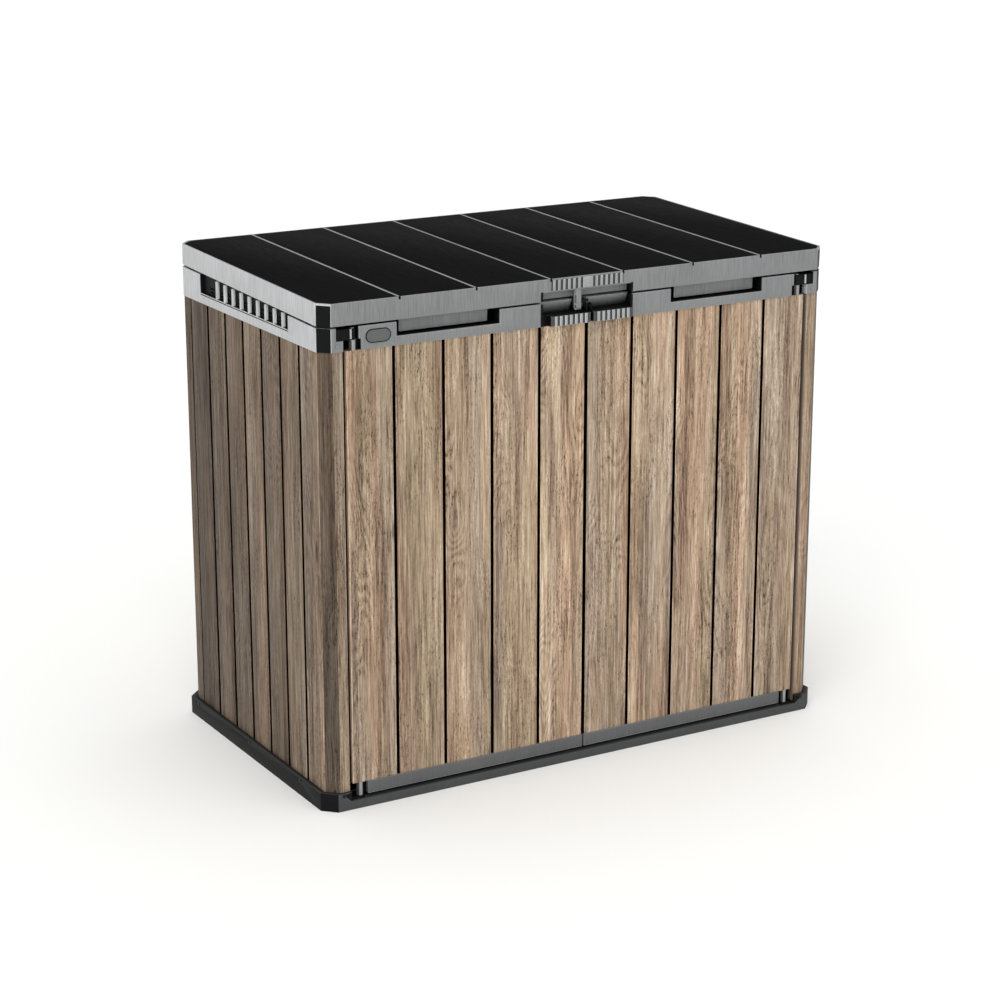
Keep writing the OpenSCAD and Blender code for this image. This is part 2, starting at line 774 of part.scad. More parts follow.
base_tray();
base_screws();
on_side(-1) side_panel();  // left_side_panel
on_side(1) side_panel();  // right_side_panel
on_side(-1) back_panel();  // left_back_panel
on_side(1) back_panel();  // right_back_panel
on_side(-1) side_rail();  // left_side_rail
on_side(1) side_rail();  // right_side_rail
on_side(-1) vent_screen();  // left_vent_screen
on_side(1) vent_screen();  // right_vent_screen
back_rail();
on_side(-1) corner_cap();  // left_corner_cap
on_side(1) corner_cap();  // right_corner_cap
frame_screws();
lid_bumpers();
on_side(-1) door_brackets();  // left_door_brackets
on_side(1) door_brackets();  // right_door_brackets
on_side(-1) door_pins();  // left_door_pins
on_side(1) door_pins();  // right_door_pins
lid_hinge_seats();
lid_hinge_pins();
lid_shell();
lid_board(0);  // lid_board_1
lid_board(1);  // lid_board_2
lid_board(2);  // lid_board_3
lid_board(3);  // lid_board_4
lid_board(4);  // lid_board_5
lid_board(5);  // lid_board_6
lid_board(6);  // lid_board_7
on_side(-1) lid_cap();  // left_lid_cap
on_side(1) lid_cap();  // right_lid_cap
lid_grip();
lid_lug();
lid_hinge_leaves();
on_side(-1) door_panel();  // left_door_panel
on_side(-1) door_top_rail(-1);  // left_door_top_rail
on_side(-1) rail_cover(-1);  // left_rail_cover
on_side(-1) door_bottom_rail();  // left_door_bottom_rail
on_side(-1) scoop(-1);  // left_scoop
on_side(-1) door_grip(-1);  // left_door_grip
on_side(-1) door_knuckles();  // left_door_knuckles
on_side(-1) door_stiles();  // left_door_stiles
eye(-3, 1, black);  // left_door_eye
badge();
turn_latch();
on_side(1) door_panel();  // right_door_panel
on_side(1) door_top_rail(1);  // right_door_top_rail
on_side(1) rail_cover(1);  // right_rail_cover
on_side(1) door_bottom_rail();  // right_door_bottom_rail
on_side(1) scoop(1);  // right_scoop
on_side(1) door_grip(1);  // right_door_grip
on_side(1) door_knuckles();  // right_door_knuckles
on_side(1) door_stiles();  // right_door_stiles
eye(10, 14, grey);  // right_door_eye
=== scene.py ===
import json
import math

import bmesh
import bpy
import numpy as np
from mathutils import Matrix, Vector


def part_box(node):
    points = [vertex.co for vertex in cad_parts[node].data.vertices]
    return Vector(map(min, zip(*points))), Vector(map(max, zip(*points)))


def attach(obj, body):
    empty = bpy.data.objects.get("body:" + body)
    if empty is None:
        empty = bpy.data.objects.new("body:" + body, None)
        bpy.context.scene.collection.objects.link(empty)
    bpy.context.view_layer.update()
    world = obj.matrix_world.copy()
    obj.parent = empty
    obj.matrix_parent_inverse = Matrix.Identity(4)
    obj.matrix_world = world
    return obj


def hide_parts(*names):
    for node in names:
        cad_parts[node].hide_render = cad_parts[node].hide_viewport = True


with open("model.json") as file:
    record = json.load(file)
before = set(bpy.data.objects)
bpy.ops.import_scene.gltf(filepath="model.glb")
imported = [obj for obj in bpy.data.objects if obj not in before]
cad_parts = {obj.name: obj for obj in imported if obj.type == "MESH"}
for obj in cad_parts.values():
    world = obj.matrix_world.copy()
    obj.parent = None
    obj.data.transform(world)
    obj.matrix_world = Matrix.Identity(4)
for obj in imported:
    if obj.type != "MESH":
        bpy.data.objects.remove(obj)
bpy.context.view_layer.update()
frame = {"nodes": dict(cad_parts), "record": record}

record = frame["record"]
slotOf = {part["node"]: part["material_slot"] for part in record["subparts"]}
bodyOf = {node: body for body, nodes in record["behaviour"]["bodies"].items() for node in nodes}
mm = 0.001


def place(node):
    # lowest and highest corner of a CAD node, in millimetres
    low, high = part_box(node)
    return np.array(low) / mm, np.array(high) / mm


# camera: a long lens, left of the front and above the lid
view = {
    "location": (-3.21546, -5.50948, 2.42737),
    "azimuth": 30.239,  # turned from straight back towards the right, in degrees
    "down": 16.151,
    "lens": 91.15,
    "sensor": 36.0,
}
az, down = math.radians(view["azimuth"]), math.radians(view["down"])
forward = Vector((math.sin(az) * math.cos(down), math.cos(az) * math.cos(down), -math.sin(down)))
cameraData = bpy.data.cameras.new("camera")
cameraData.lens, cameraData.sensor_width = view["lens"], view["sensor"]
cameraData.clip_end = 200
camera = bpy.data.objects.new("camera", cameraData)
camera.location = view["location"]
camera.rotation_euler = forward.to_track_quat("-Z", "Y").to_euler()
bpy.context.scene.collection.objects.link(camera)
bpy.context.scene.camera = camera
bpy.context.scene.view_settings.view_transform = "Standard"
print("camera set")


def linearColour(hexText):
    # sRGB hex to linear light
    parts = [int(hexText[i:i + 2], 16) / 255 for i in (1, 3, 5)]
    return tuple(c / 12.92 if c <= 0.04045 else ((c + 0.055) / 1.055) ** 2.4 for c in parts) + (1.0,)


def addNode(tree, kind, inputs=None, stops=None, **settings):
    # one node with its settings, its input values and its links; a node given as an input
    # gives its first output, and stops fill a colour ramp
    node = tree.nodes.new("ShaderNode" + kind)
    for name, value in settings.items():
        setattr(node, name, value)
    for name, value in (inputs or {}).items():
        if isinstance(value, bpy.types.Node):
            value = value.outputs[0]
        if isinstance(value, bpy.types.NodeSocket):
            tree.links.new(value, node.inputs[name])
        else:
            node.inputs[name].default_value = value
    for i, (at, colour) in enumerate(stops or []):
        element = node.color_ramp.elements[i] if i < 2 else node.color_ramp.elements.new(at)
        element.position = at
        element.color = linearColour(colour) if isinstance(colour, str) else (colour, colour, colour, 1)
    return node


def startMaterial(name, **shader):
    # a material with a bare Principled shader and the numbers that are the same all over
    material = bpy.data.materials.new(name)
    material.use_nodes = True
    tree = material.node_tree
    tree.nodes.clear()
    bsdf = addNode(tree, "BsdfPrincipled", shader)
    addNode(tree, "OutputMaterial", {"Surface": bsdf.outputs["BSDF"]})
    return material, tree, bsdf


woodLook = {
    # marks per metre across and along the plank, detail, roughness, distortion
    "bands": (30, 1.2, 3, 0.55, 0.3),  # tone bands 30 mm wide
    "streaks": (190, 5, 5, 0.68, 0.15),  # 5 mm streaks, 200 mm long
    "fibres": (430, 17, 3, 0.65, 0.0),  # 2.3 mm by 60 mm, drawn as coarse as they show
    "field": (7, 1.6, 2, 0.5, 0.2),  # its level lines are the growth rings
    "archZone": (13, 1.7, 2, 0.5, 0.0),  # where those rings show
    "flecks": (330, 95, 2, 0.6, 0.0),  # pores 3 mm by 10 mm
    "fleckZone": (17, 4.0, 2, 0.5, 0.0),  # where the pores crowd
    "warmZone": (18, 0.8, 2, 0.5, 0.0),  # where the wood is grey brown and not orange brown
    "oliveZone": (23, 0.6, 2, 0.5, 0.4),  # where it takes an olive cast instead
}
woodWeight = {"bands": 0.95, "streaks": 1.25, "fibres": 0.85}
woodRamp = {
    # how much of a mark there is at each value of its pattern
    "archZone": [(0.48, 0.0), (0.62, 1.0)],
    "fleckZone": [(0.42, 0.3), (0.62, 1.0)],
    "pores": [(0.33, 1.0), (0.42, 0.0)],
    "pale": [(0.60, 0.0), (0.68, 1.0)],
    "knots": [(0.03, 1.0), (0.075, 0.0)],
    "warmZone": [(0.38, 0.0), (0.62, 1.0)],
    "oliveZone": [(0.5, 0.0), (0.66, 1.0)],
}
woodTint = {
    # red, green and blue factors
    "orange": (1.07, 0.98, 0.925, 1),
    "grey": (0.965, 1.0, 1.04, 1),
    "olive": (1.0, 1.008, 0.93, 1),
}
woodLines = {
    "knotsPerMetre": (9.0, 2.2, 1.0),
    "ringCount": 34,
    "ringInFlecks": 0.06,
    "rings": 0.055,
    "pores": -0.34,
    "paleFlecks": 0.2,
    "knots": -0.45,
    "plankDepth": 3.7,  # how far apart two planks lie in the pattern
}
woodColours = [(0.05, "#4b3a2f"), (0.28, "#7f6a58"), (0.48, "#a58f79"), (0.66, "#bfa991"), (0.95, "#ead8c3")]


def makeWoodResin():
    # Polypropylene panels moulded with an oak grain and toned in two passes: matte, dry,
    # long thin streaks, nested arches where the plank was cut across the rings, short pores.
    material, tree, bsdf = startMaterial("woodGrainResin", **{"IOR": 1.49, "Specular IOR Level": 0.3})
    grain = addNode(tree, "UVMap", uv_map="grain")
    plank = addNode(tree, "Attribute", attribute_type="GEOMETRY", attribute_name="plank")
    tone = addNode(tree, "Attribute", attribute_type="GEOMETRY", attribute_name="tone")
    split = addNode(tree, "SeparateXYZ", {"Vector": grain})
    deep = addNode(tree, "Math", {0: plank.outputs["Fac"], 1: woodLines["plankDepth"]}, operation="MULTIPLY")
    where = addNode(tree, "CombineXYZ", {"X": split.outputs["X"], "Y": split.outputs["Y"], "Z": deep})
    noise = {}
    for name, (across, along, detail, rough, distortion) in woodLook.items():
        scaled = addNode(tree, "VectorMath", {0: where, 1: (across, along, 1.0)}, operation="MULTIPLY")
        noise[name] = addNode(tree, "TexNoise", {"Vector": scaled, "Scale": 1.0, "Detail": detail,
                                                 "Roughness": rough, "Distortion": distortion})
    # growth rings: level lines of a smooth stretched field, which close into nested arches
    turns = addNode(tree, "Math", {0: noise["field"], 1: woodLines["ringCount"] * 2 * math.pi},
                    operation="MULTIPLY")
    rings = addNode(tree, "Math", {0: turns}, operation="SINE")
    archMask = addNode(tree, "ValToRGB", {"Fac": noise["archZone"]}, woodRamp["archZone"])
    arches = addNode(tree, "Math", {0: rings, 1: archMask}, operation="MULTIPLY")
    # short dark pores and pale flecks, in patches and along the rings
    ringShift = addNode(tree, "Math", {0: arches, 1: woodLines["ringInFlecks"]}, operation="MULTIPLY")
    flecks = addNode(tree, "Math", {0: noise["flecks"], 1: ringShift}, operation="ADD")
    area = addNode(tree, "ValToRGB", {"Fac": noise["fleckZone"]}, woodRamp["fleckZone"])
    dark = addNode(tree, "ValToRGB", {"Fac": flecks}, woodRamp["pores"])
    light = addNode(tree, "ValToRGB", {"Fac": flecks}, woodRamp["pale"])
    pores = addNode(tree, "Math", {0: dark, 1: area}, operation="MULTIPLY")
    pale = addNode(tree, "Math", {0: light, 1: area}, operation="MULTIPLY")
    # a few small knots
    knotPlace = addNode(tree, "VectorMath", {0: where, 1: woodLines["knotsPerMetre"]}, operation="MULTIPLY")
    knot = addNode(tree, "TexVoronoi", {"Vector": knotPlace, "Scale": 1.0, "Randomness": 1.0})
    knots = addNode(tree, "ValToRGB", {"Fac": knot.outputs["Distance"]}, woodRamp["knots"])
    # depth of the grain: a weighted sum of all of them round one half
    total = 0.5 - 0.5 * sum(woodWeight.values())
    parts = [(noise[name], weight) for name, weight in woodWeight.items()]
    parts += [(arches, woodLines["rings"]), (pores, woodLines["pores"]), (pale, woodLines["paleFlecks"]),
              (knots, woodLines["knots"])]
    for part, weight in parts:
        total = addNode(tree, "Math", {0: part, 1: weight, 2: total}, operation="MULTIPLY_ADD")
    colours = addNode(tree, "ValToRGB", {"Fac": total}, woodColours)
    # zones of orange brown, of grey brown and of a faint olive
    zone = addNode(tree, "ValToRGB", {"Fac": noise["warmZone"]}, woodRamp["warmZone"])
    warm = addNode(tree, "Mix", {"Factor": zone, 6: woodTint["orange"], 7: woodTint["grey"]},
                   data_type="RGBA")
    olive = addNode(tree, "ValToRGB", {"Fac": noise["oliveZone"]}, woodRamp["oliveZone"])
    cast = addNode(tree, "Mix", {"Factor": olive, 6: warm.outputs[2], 7: woodTint["olive"]}, data_type="RGBA")
    tinted = addNode(tree, "VectorMath", {0: colours, 1: cast.outputs[2]}, operation="MULTIPLY")
    # the tone carries each plank's own tone and painted light and shade
    toned = addNode(tree, "VectorMath", {0: tinted, "Scale": tone.outputs["Fac"]}, operation="SCALE")
    tree.links.new(toned.outputs[0], bsdf.inputs["Base Color"])
    rough = addNode(tree, "MapRange", {"Value": noise["streaks"], "From Min": 0.3, "From Max": 0.7,
                                       "To Min": 0.72, "To Max": 0.56})
    tree.links.new(rough.outputs["Result"], bsdf.inputs["Roughness"])
    bump = addNode(tree, "Bump", {"Height": total, "Strength": 0.35, "Distance": 0.8 * mm})
    tree.links.new(bump.outputs["Normal"], bsdf.inputs["Normal"])
    return material


def makeResin(name, colour, roughness, specular, stretch, contrast, bumpSize, toned=False):
    # Moulded polypropylene: a fine skin texture of the mould. stretch is the size of its marks
    # in millimetres along x, y and z; contrast is how far the marks change the colour.
    material, tree, bsdf = startMaterial(name, **{"IOR": 1.49, "Specular IOR Level": specular})
    spot = addNode(tree, "TexCoord")
    perMetre = tuple(1 / (size * mm) for size in stretch)
    scaled = addNode(tree, "VectorMath", {0: spot.outputs["Object"], 1: perMetre}, operation="MULTIPLY")
    marks = addNode(tree, "TexNoise", {"Vector": scaled, "Scale": 1.0, "Detail": 4.0, "Roughness": 0.6})
    cloud = addNode(tree, "TexNoise", {"Vector": spot.outputs["Object"], "Scale": 7.0, "Detail": 2.0})
    both = addNode(tree, "Math", {0: cloud, 1: 0.35, 2: marks}, operation="MULTIPLY_ADD")
    light = addNode(tree, "MapRange", {"Value": both, "From Min": 0.45, "From Max": 0.9,
                                       "To Min": 1 - contrast, "To Max": 1 + contrast})
    paint = addNode(tree, "VectorMath", {0: linearColour(colour)[:3], "Scale": light}, operation="SCALE")
    # the tone carries mostly painted light and shade, set per corner
    if toned:
        tone = addNode(tree, "Attribute", attribute_type="GEOMETRY", attribute_name="tone")
        paint = addNode(tree, "VectorMath", {0: paint, "Scale": tone.outputs["Fac"]}, operation="SCALE")
    tree.links.new(paint.outputs[0], bsdf.inputs["Base Color"])
    rough = addNode(tree, "MapRange", {"Value": marks, "From Min": 0.3, "From Max": 0.7,
                                       "To Min": roughness - 0.06, "To Max": roughness + 0.06})
    tree.links.new(rough.outputs["Result"], bsdf.inputs["Roughness"])
    bump = addNode(tree, "Bump", {"Height": marks, "Strength": 0.25, "Distance": bumpSize * mm})
    tree.links.new(bump.outputs["Normal"], bsdf.inputs["Normal"])
    return material


def makeZinc(name, pale, deep):
    # Zinc plated steel: metal with a faint mottle of the plating crystals
    material, tree, bsdf = startMaterial(name, Metallic=1.0)
    spot = addNode(tree, "TexCoord")
    crystals = addNode(tree, "TexVoronoi", {"Vector": spot.outputs["Object"], "Scale": 600.0})
    shade = addNode(tree, "ValToRGB", {"Fac": crystals.outputs["Distance"]}, [(0.0, pale), (1.0, deep)])
    tree.links.new(shade.outputs["Color"], bsdf.inputs["Base Color"])
    rough = addNode(tree, "MapRange", {"Value": crystals.outputs["Distance"], "To Min": 0.32, "To Max": 0.46})
    tree.links.new(rough.outputs["Result"], bsdf.inputs["Roughness"])
    return material


woodResin = makeWoodResin()
# the bottom of a joint between planks: the same resin, in shadow at any light
groove = makeResin("grooveShadowResin", "#060505", 0.9, 0.0, (3, 3, 3), 0.15, 0.1)
# the panels' plain inner skin: taupe polypropylene, dull as it left the mould
innerResin = makeResin("innerTaupeResin", "#6b6055", 0.6, 0.3, (1.6, 1.6, 1.6), 0.08, 0.2)
finish = {
    # grey polypropylene with fine upright brush marks cut into the mould: satin, lightly streaked
    "grey_resin": makeResin("greyBrushedResin", "#7d7e7f", 0.5, 0.35, (3.2, 3.2, 60), 0.2, 0.15, True),
    # near-black polypropylene boards with fine marks front to back: a broad, weak highlight
    "board_black": makeResin("nearBlackBoardResin", "#090909", 0.62, 0.03, (4, 60, 4), 0.2, 0.15),
    # black polypropylene fittings with an eroded skin: even, with a soft highlight
    "black_resin": makeResin("blackMouldedResin", "#0d0d0d", 0.55, 0.12, (1.4, 1.4, 1.4), 0.15, 0.12),
    # charcoal polypropylene of the base, with a coarser skin: dull, with painted light on its front and edges
    # and painted shade on its sides, corners and lip
    "base_black": makeResin("charcoalBaseResin", "#262727", 0.55, 0.15, (2.2, 2.2, 2.2), 0.15, 0.15, True),
    # grey polypropylene badge, a little glossier than the rail round it
    "badge_grey": makeResin("greyBadgeResin", "#5c5d5e", 0.45, 0.3, (2.4, 2.4, 2.4), 0.25, 0.1),
    # moulded black rubber stops: dull and soft
    "rubber": makeResin("blackRubber", "#141414", 0.8, 0.2, (1.0, 1.0, 1.0), 0.1, 0.1),
    # pins and screws of zinc plated steel: pale grey metal
    "zinc_steel": makeZinc("zincPlatedSteel", "#a2a4a6", "#7c7f81"),
}
# the base's screws are of black zinc plated steel: the same metal, darkened
ownFinish = {"base_screws": makeZinc("blackZincScrew", "#3c3e40", "#2a2b2c")}
print("materials made")


def addPiece(name, mesh, body, nodes):
    # puts a finished mesh in the scene as a piece that rides on a body and stands for CAD nodes
    piece = bpy.data.objects.new(name, mesh)
    bpy.context.scene.collection.objects.link(piece)
    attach(piece, body)
    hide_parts(*nodes)
    return piece


def openEdges(mesh):
    # how many edges don't join exactly two faces
    edge = np.empty(len(mesh.loops), np.int32)
    mesh.loops.foreach_get("edge_index", edge)
    return int((np.bincount(edge, minlength=len(mesh.edges)) != 2).sum())


soften = {
    # lengths in millimetres, angles in degrees
    "merge": 0.004,
    "clean": 0.002,
    "flatAngle": 0.6,
    "sharpAngle": 30,
    "shadeAngle": 40,
}


def softCopy(node, radius, steps):
    # the CAD node with its triangles merged into flat faces and its sharp edges rounded
    solid = bmesh.new()
    solid.from_mesh(frame["nodes"][node].data)
    bmesh.ops.remove_doubles(solid, verts=solid.verts, dist=soften["merge"] * mm)
    bmesh.ops.dissolve_limit(solid, angle_limit=math.radians(soften["flatAngle"]), verts=solid.verts,
                             edges=solid.edges, delimit={"NORMAL"})
    sharpest = math.radians(soften["sharpAngle"])
    sharp = [e for e in solid.edges if len(e.link_faces) == 2 and abs(e.calc_face_angle(0.0)) > sharpest]
    if sharp:
        bmesh.ops.bevel(solid, geom=sharp, offset=radius * mm, segments=steps, profile=0.5, affect="EDGES",
                        clamp_overlap=True, loop_slide=False)
    bmesh.ops.remove_doubles(solid, verts=solid.verts, dist=soften["clean"] * mm)
    bmesh.ops.dissolve_degenerate(solid, edges=solid.edges, dist=soften["clean"] * mm)
    mesh = bpy.data.meshes.new(node + "Soft")
    solid.to_mesh(mesh)
    solid.free()
    mesh.polygons.foreach_set("use_smooth", np.ones(len(mesh.polygons), bool))
    mesh.set_sharp_from_angle(angle=math.radians(soften["shadeAngle"]))
    mesh.materials.clear()
    mesh.materials.append(ownFinish.get(node, finish[slotOf[node]]))
    # second slot: black, for the faces painted black, most of them as shade
    mesh.materials.append(finish["black_resin"])
    # whole arrays of the faces: centre and normal, and the point of every corner, in millimetres
    faceCount, cornerCount = len(mesh.polygons), len(mesh.loops)
    centre, normal = np.empty(faceCount * 3, np.float32), np.empty(faceCount * 3, np.float32)
    mesh.polygons.foreach_get("center", centre)
    mesh.polygons.foreach_get("normal", normal)
    centre, normal = centre.reshape(-1, 3) / mm, normal.reshape(-1, 3)
    corner, point = np.empty(cornerCount, np.int32), np.empty(len(mesh.vertices) * 3, np.float32)
    mesh.loops.foreach_get("vertex_index", corner)
    mesh.vertices.foreach_get("co", point)
    size = np.empty(faceCount, np.int32)
    mesh.polygons.foreach_get("loop_total", size)
    point = point.reshape(-1, 3)[corner] / mm
    black, tone = paintRules(node, centre, normal, point, np.repeat(centre, size, 0),
                             np.repeat(normal, size, 0))
    mesh.polygons.foreach_set("material_index", black.astype(np.int32))
    mesh.attributes.new("tone", "FLOAT", "CORNER").data.foreach_set("value", tone.astype(np.float32))
    loose = openEdges(mesh)
    if loose:
        print("open edges in", node, loose)
    return addPiece(node + "Piece", mesh, bodyOf[node], [node])


toneOfPart = {
    # how light a part of a piece is beside its material's own colour
    "greySidePaintedLight": 2.4,  # sides of the grey rails and of the lid skirt: painted light, made paler than the front
    # painted highlight on the rounded edges of the grey pieces
    "edgeHighlight": 1.4,
    # painted shade in the handle recess, darkest at its floor
    "scoopFloorShade": 0.15,
    "scoopGain": 1.35,
    # door grips: painted highlight on the rib fronts, painted shade between the ribs
    "doorRibHighlight": 1.6,
    "doorGapShade": 0.25,
    # lid grip: painted highlight on the rib fronts, painted shade between the ribs
    "lidRibHighlight": 1.45,
    "lidGapShade": 0.7,
    # hinge barrels: painted highlight down the front, painted shade on the sides
    "barrel": 1.35,
    "barrelSideShade": 0.2,
    # painted highlight on the vent's bars
    "ventBarHighlight": 3.4,
    "railUnderside": 1.1,
    "railFace": 0.47,
    # base tray: painted light on the front and edges, painted shade on the sides, corners and lip
    "baseFrontLight": 3.2,
    "baseSideShade": 0.33,
    "baseEdgeHighlight": 4.0,
    "baseCornerShade": 0.3,
    "lipEdgeHighlight": 2.0,
    "lip": 0.1,
}
# places of those parts, in millimetres
recess = {"halfWidth": 129.0, "floor": 1160.0, "front": -413.0, "back": -380.0, "top": 1225.0}
scoop = {"low": 3.0, "reach": 22.0}
boardNotch = {"halfSpan": 719.0, "boards": 7, "half": 3.4, "front": -412.6, "back": -405.0, "low": 1238.0,
              "high": 1248.4}
ribs = {"back": -427.0, "sideBack": -426.5}
leaves = {"inner": 626.0}  # beyond this the knuckles are barrels
vent = {"front": -240.5, "back": 265.5, "low": 1154.0, "high": 1215.0, "face": 718.8, "firstBar": -207.5,
        "pitch": 47.0, "halfBar": 3.2, "barInner": 710.5, "barOuter": 724.0, "barLow": 1160.5}
pocket = {"inner": 660.0, "outer": 681.0, "low": 1158.0, "back": -385.0}
baseLip = {"halfWidth": 731.0, "halfDepth": 419.0, "highlightBand": 4.0, "frontHalf": 662.0, "cornerX": 663.0,
           "cornerY": 385.0}


def fromNearest(along, first, pitch):
    # distance to the nearest of a row of places: the first one, and one more every pitch
    return np.abs((along - first) - pitch * np.round((along - first) / pitch))


def paintRules(node, centre, normal, point, cornerCentre, cornerNormal):
    # Which faces of a softened piece are black, and how light each corner of its faces is; much of both
    # is painted light and shade. A face is told by where its middle is and which way it looks; sideways
    # counts from the middle of the box.
    x, y, z = np.abs(centre[:, 0]), centre[:, 1], centre[:, 2]
    across, away, up = np.abs(normal[:, 0]), normal[:, 1], normal[:, 2]
    cornerX, cornerY, cornerZ = np.abs(cornerCentre[:, 0]), cornerCentre[:, 1], cornerCentre[:, 2]
    cornerAcross, cornerAway, cornerUp = np.abs(cornerNormal[:, 0]), cornerNormal[:, 1], cornerNormal[:, 2]
    black = np.zeros(len(centre), bool)
    tone = np.ones(len(point))
    if slotOf[node] == "grey_resin":
        # painted light: faces turned sideways are made paler, as if lit from the side
        tone = 1 + (toneOfPart["greySidePaintedLight"] - 1) * np.clip(cornerAcross * 2 - 0.9, 0, 1)
    if node == "lid_shell":
        recessEnd = (np.abs(x - recess["halfWidth"]) < 2) & (across > 0.6)
        recessEnd = recessEnd & (y < recess["back"]) & (z < recess["top"])
        # painted shade: the walls of the notches under the lid's boards are black
        boardPitch = 2 * boardNotch["halfSpan"] / boardNotch["boards"]
        notch = fromNearest(centre[:, 0], -boardNotch["halfSpan"], boardPitch) < boardNotch["half"]
        notch = notch & (y < boardNotch["back"]) & (y > boardNotch["front"])
        notch = notch & (z > boardNotch["low"]) & (z < boardNotch["high"])
        black = recessEnd | notch
        tone = np.where(cornerX < recess["halfWidth"], 1.0, tone)
    if node.endswith("rail_cover"):
        black = (np.abs(x - recess["halfWidth"]) < 1.5) & (across > 0.6)
        tone = np.ones(len(point))
    if node.endswith("scoop"):
        # painted shade: the sloping back is made darker towards the floor of the recess
        climb = (point[:, 2] - recess["floor"] - scoop["low"]) / scoop["reach"]
        tone = toneOfPart["scoopFloorShade"] + toneOfPart["scoopGain"] * np.clip(climb, 0, 1)
    if node.endswith("door_grip"):
        # painted shade: the grip's upward faces and rear side walls are black; painted highlight on the rib
        # fronts
        black = (up > 0.7) | ((across > 0.7) & (y > ribs["sideBack"]))
        frontFace = cornerAway < -0.7
        tone = np.where(frontFace & (cornerY < ribs["back"]), toneOfPart["doorRibHighlight"], tone)
        tone = np.where(frontFace & (cornerY > ribs["back"]), toneOfPart["doorGapShade"], tone)
    if node == "lid_grip":
        # painted highlight on the rib fronts, painted shade on every other face of the grip
        tone = np.where(cornerAway < -0.7, toneOfPart["lidRibHighlight"], toneOfPart["lidGapShade"])
    if node.endswith("door_eye"):
        black = np.ones(len(centre), bool)
    if node.endswith("door_knuckles"):
        # black leaves, and barrels with a painted highlight down their front and painted shade on their sides
        black = x < leaves["inner"]
        tone = np.where(cornerAcross < 0.5, toneOfPart["barrel"], toneOfPart["barrelSideShade"])
    if node.endswith("side_rail"):
        # the vent is painted black between its bars as the shade inside it, and so is the pocket for the
        # hinge bracket; the bars get a painted highlight
        bar = fromNearest(y, vent["firstBar"], vent["pitch"]) < vent["halfBar"]
        bar = bar & (x > vent["barInner"]) & (z > vent["barLow"])
        inVent = (y > vent["front"]) & (y < vent["back"]) & (z > vent["low"]) & (z < vent["high"])
        inPocket = (z > pocket["low"]) & (x < pocket["outer"]) & (x > pocket["inner"]) & (y < pocket["back"])
        black = (inVent & (x < vent["face"]) & ~bar) | inPocket
        barCorner = fromNearest(cornerY, vent["firstBar"], vent["pitch"]) < vent["halfBar"]
        barCorner = barCorner & (cornerX > vent["barInner"]) & (cornerX < vent["barOuter"])
        barCorner = barCorner & (cornerZ > vent["barLow"])
        barCorner = barCorner & (cornerY > vent["front"]) & (cornerY < vent["back"])
        tone = np.where(barCorner, toneOfPart["ventBarHighlight"], tone)
    if node.endswith("bottom_rail"):
        tone = np.where(cornerUp < -0.2, toneOfPart["railUnderside"], toneOfPart["railFace"])
    if node == "base_tray":
        # painted light and shade: the lip is made near black as shade against the walls, with a painted
        # highlight along its outer edge; the front and upper edges are made paler, the sides and corners
        # darker
        front = (cornerAway < -0.6) & (cornerX < baseLip["frontHalf"])
        lip = cornerUp > 0.95
        edge = (cornerUp > 0.2) & ~lip
        corner = (cornerX > baseLip["cornerX"]) & (np.abs(cornerY) > baseLip["cornerY"])
        inset = np.minimum(baseLip["halfWidth"] - np.abs(point[:, 0]),
                           baseLip["halfDepth"] - np.abs(point[:, 1]))
        lipTone = np.where(inset < baseLip["highlightBand"], toneOfPart["lipEdgeHighlight"], toneOfPart["lip"])
        tone = np.where(lip, lipTone, toneOfPart["baseSideShade"])
        tone = np.where(front, toneOfPart["baseFrontLight"], tone)
        tone = np.where(edge, toneOfPart["baseEdgeHighlight"], tone)
        tone = tone * np.where(corner, toneOfPart["baseCornerShade"], 1.0)
    if node == "badge":
        black = away > -0.9
    if slotOf[node] == "grey_resin" and not node.endswith(("knuckles", "lug", "scoop")):
        # painted highlight: the rounded strips between the flat faces are made paler
        flat = np.abs(cornerNormal).max(1) > 0.985
        tone = np.where(flat, tone, tone * toneOfPart["edgeHighlight"])
    return black, tone


softEdges = {
    # edge radius in millimetres and steps
    "base_tray": (1.6, 2), "left_side_rail": (1.2, 2), "right_side_rail": (1.2, 2), "back_rail": (1.2, 2),
    "left_vent_screen": (0.5, 1), "right_vent_screen": (0.5, 1),
    "left_corner_cap": (0.8, 2), "right_corner_cap": (0.8, 2),
    "left_lid_cap": (0.8, 2), "right_lid_cap": (0.8, 2),
    "lid_bumpers": (0.8, 2), "left_door_brackets": (0.8, 2), "right_door_brackets": (0.8, 2),
    "lid_hinge_seats": (0.8, 2), "lid_hinge_leaves": (0.8, 2), "lid_shell": (1.6, 2), "lid_grip": (1.3, 3),
    "lid_lug": (0.6, 2), "left_door_top_rail": (1.0, 2), "right_door_top_rail": (1.0, 2),
    "left_rail_cover": (1.2, 2), "right_rail_cover": (1.2, 2),
    "left_door_bottom_rail": (1.5, 2), "right_door_bottom_rail": (1.5, 2),
    "left_scoop": (0.5, 1), "right_scoop": (0.5, 1), "left_door_grip": (1.3, 3), "right_door_grip": (1.3, 3),
    "left_door_knuckles": (0.6, 2), "right_door_knuckles": (0.6, 2),
    "left_door_stiles": (2.0, 2), "right_door_stiles": (2.0, 2),
    "left_door_eye": (0.6, 2), "right_door_eye": (0.6, 2), "badge": (0.7, 3), "turn_latch": (0.8, 2),
    "left_door_pins": (0.4, 2), "right_door_pins": (0.4, 2), "lid_hinge_pins": (0.4, 2),
    "base_screws": (0.4, 2), "frame_screws": (0.4, 2),
}
for board in range(1, 8):
    softEdges[f"lid_board_{board}"] = (1.6, 3)
for node, (radius, steps) in softEdges.items():
    softCopy(node, radius, steps)
print("softened", len(softEdges), "pieces")


